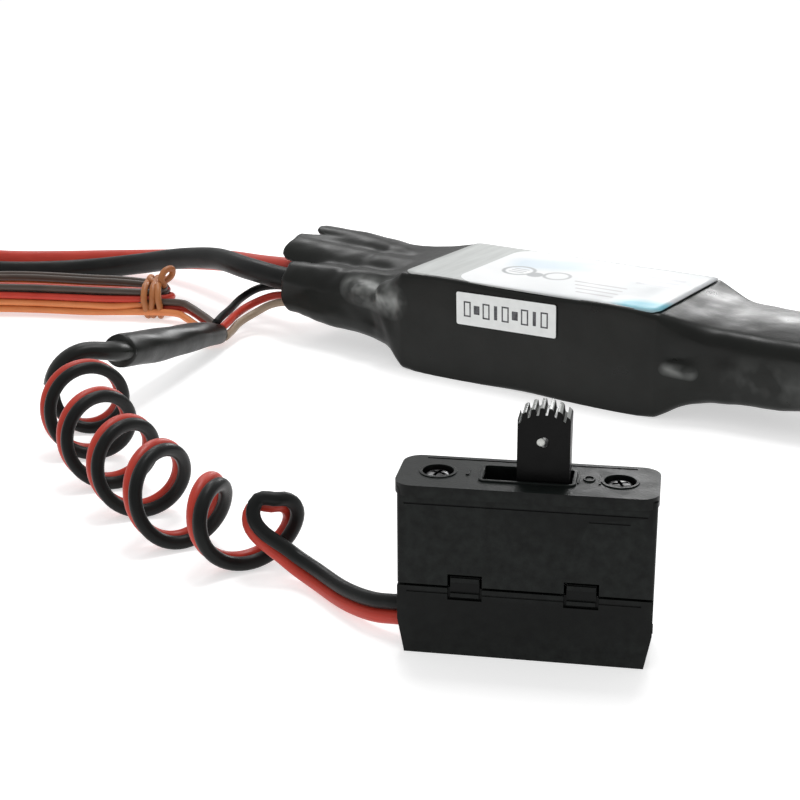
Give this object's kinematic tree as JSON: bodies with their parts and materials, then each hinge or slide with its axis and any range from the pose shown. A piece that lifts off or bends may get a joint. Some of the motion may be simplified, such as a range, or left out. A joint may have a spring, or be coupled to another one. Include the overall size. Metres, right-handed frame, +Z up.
{
  "type": "electronic speed controller",
  "caption": "Brushless motor speed controller in a heat-shrink sleeve, with battery leads, a folded receiver lead and a slide-switch box on a curly twin lead.",
  "frame": {"origin": "centre of the sleeve's flat underside, where the controller rests", "axes": "+X along the sleeve from the battery end to the motor end, +Z up out of the label, so the battery leads leave towards -X"},
  "size_m": [0.2586, 0.1177, 0.0303],
  "materials": {
    "black_wire": "silicone jacket",
    "capacitor_sleeve": "shrunk PVC film",
    "circuit_board": "green solder mask",
    "component_plastic": "moulded epoxy",
    "copper": "bare copper with solder",
    "dark_steel": "black oxide",
    "gold_plate": "gold plated",
    "heat_shrink": "semi-gloss black polyolefin",
    "heat_sink": "mill finish",
    "label": "glossy silver film",
    "orange_wire": "PVC jacket",
    "phenolic": "laminated board",
    "plug_plastic": "moulded nylon",
    "red_wire": "silicone jacket",
    "steel": "nickel plated",
    "sticker": "white paper label",
    "switch_plastic": "fine moulded texture",
    "tan_wire": "PVC jacket",
    "thermal_pad": "soft silicone",
    "tie_plastic": "moulded nylon",
    "tinned_contact": "tinned"
  },
  "bodies": {
    "root": {"battery_lead_black": "black_wire", "battery_lead_red": "red_wire", "battery_plug_housing": "plug_plastic", "battery_plug_pin_1": "gold_plate", "battery_plug_pin_2": "gold_plate", "battery_tab_negative": "copper", "battery_tab_positive": "copper", "board_header_lower": "component_plastic", "board_header_upper": "component_plastic", "control_board": "circuit_board", "flange_screw_1": "dark_steel", "flange_screw_2": "dark_steel", "hank_tie": "tie_plastic", "harness_wire_black": "black_wire", "harness_wire_red": "red_wire", "harness_wire_tan": "tan_wire", "heat_shrink_sleeve": "heat_shrink", "heat_sink_plate": "heat_sink", "input_capacitor_1": "capacitor_sleeve", "input_capacitor_2": "capacitor_sleeve", "junction_sleeve": "heat_shrink", "lower_power_board": "circuit_board", "microcontroller": "component_plastic", "mosfet_1": "component_plastic", "mosfet_2": "component_plastic", "mosfet_3": "component_plastic", "mosfet_4": "component_plastic", "mosfet_5": "component_plastic", "mosfet_6": "component_plastic", "motor_pad_1": "copper", "motor_pad_2": "copper", "motor_pad_3": "copper", "receiver_lead_end": "orange_wire", "receiver_lead_hank": "orange_wire", "receiver_lead_start": "orange_wire", "servo_plug": "plug_plastic", "side_sticker": "sticker", "switch_base": "phenolic", "switch_cover": "switch_plastic", "switch_frame": "steel", "switch_housing": "switch_plastic", "switch_lead_black": "black_wire", "switch_lead_coil": "black_wire", "switch_lead_red": "red_wire", "switch_terminal_1": "tinned_contact", "switch_terminal_2": "tinned_contact", "switch_terminal_3": "tinned_contact", "thermal_pad": "thermal_pad", "top_label": "label", "upper_power_board": "circuit_board", "voltage_regulator_1": "component_plastic", "voltage_regulator_2": "component_plastic"},
    "slider": {"switch_lever": "switch_plastic", "moving_contact": "tinned_contact"}
  },
  "joints": [
    {"name": "switch_slide", "type": "slide", "parent": "root", "child": "slider", "axis": [0.9157, 0.4019, 0], "range_m": [-0.0036, 0]}
  ]
}
